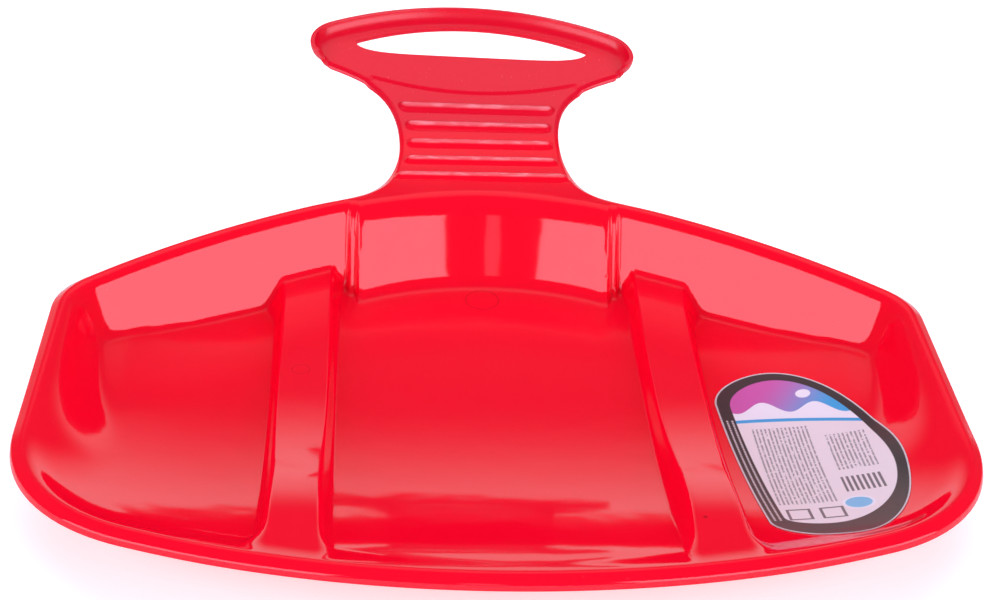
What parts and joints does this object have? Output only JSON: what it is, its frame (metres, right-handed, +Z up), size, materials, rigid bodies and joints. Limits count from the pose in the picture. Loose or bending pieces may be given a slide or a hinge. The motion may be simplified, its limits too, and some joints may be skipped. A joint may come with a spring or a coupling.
{
  "type": "snow slider sled",
  "caption": "Shallow moulded slider pan with raised ridges, rolled rim and a ribbed neck ending in a two-hand grip handle.",
  "frame": {"origin": "on the ground, under the middle of the object's plan box", "axes": "+Z up, +Y from the pan to the handle, X across"},
  "size_m": [0.4712, 0.5254, 0.1011],
  "materials": {
    "red_plastic": "glossy moulded polypropylene, red through and through",
    "printed_label": "printed film label, satin"
  },
  "bodies": {
    "root": {"slider_body": "red_plastic", "product_label": "printed_label"}
  },
  "joints": []
}
